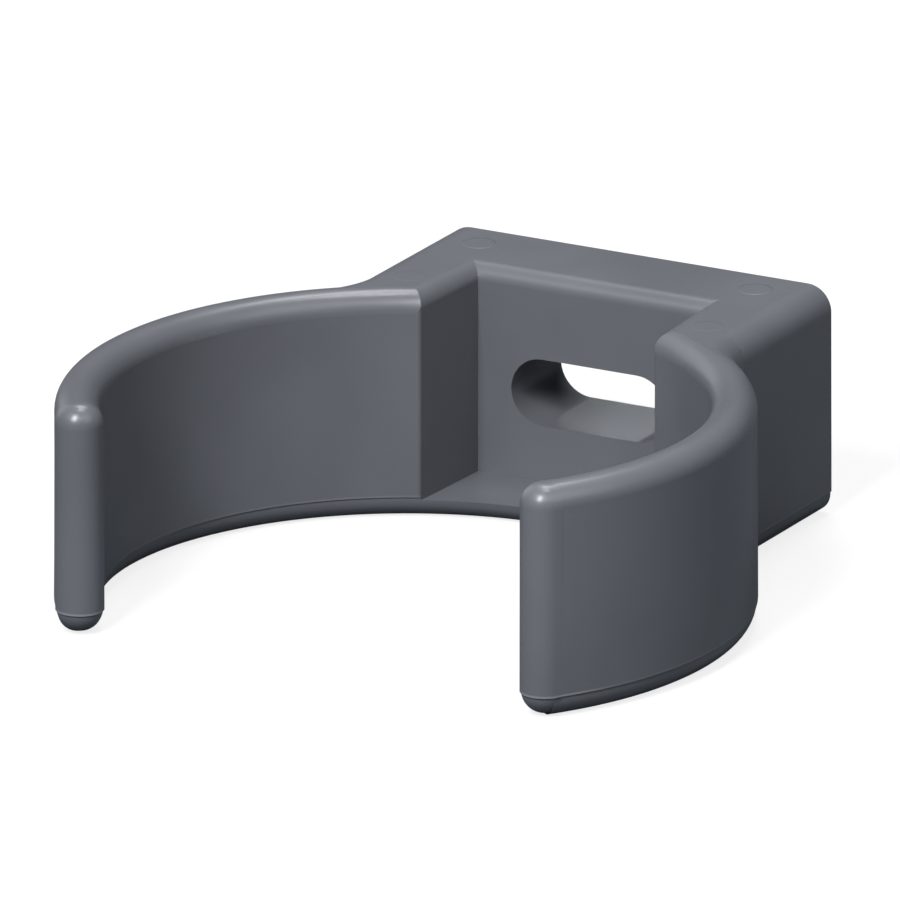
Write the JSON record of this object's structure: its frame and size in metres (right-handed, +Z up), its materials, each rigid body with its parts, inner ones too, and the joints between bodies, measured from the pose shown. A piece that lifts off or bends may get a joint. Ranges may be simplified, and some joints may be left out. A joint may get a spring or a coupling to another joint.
{
  "type": "downpipe clip",
  "caption": "Push-fit clip that holds a round rainwater downpipe to a wall: open ring with springy rounded arms on a block with a screw slot.",
  "frame": {"origin": "on the pipe's axis, at half the height of the clip", "axes": "+Z up along the downpipe, +Y towards the wall that the clip is screwed to, so the mouth faces -Y; +X to the right when the wall is faced"},
  "size_m": [0.0578, 0.0584, 0.0198],
  "materials": {
    "plastic": "fine moulded surface, satin, anthracite grey"
  },
  "bodies": {
    "root": {"clip": "plastic"}
  },
  "joints": []
}
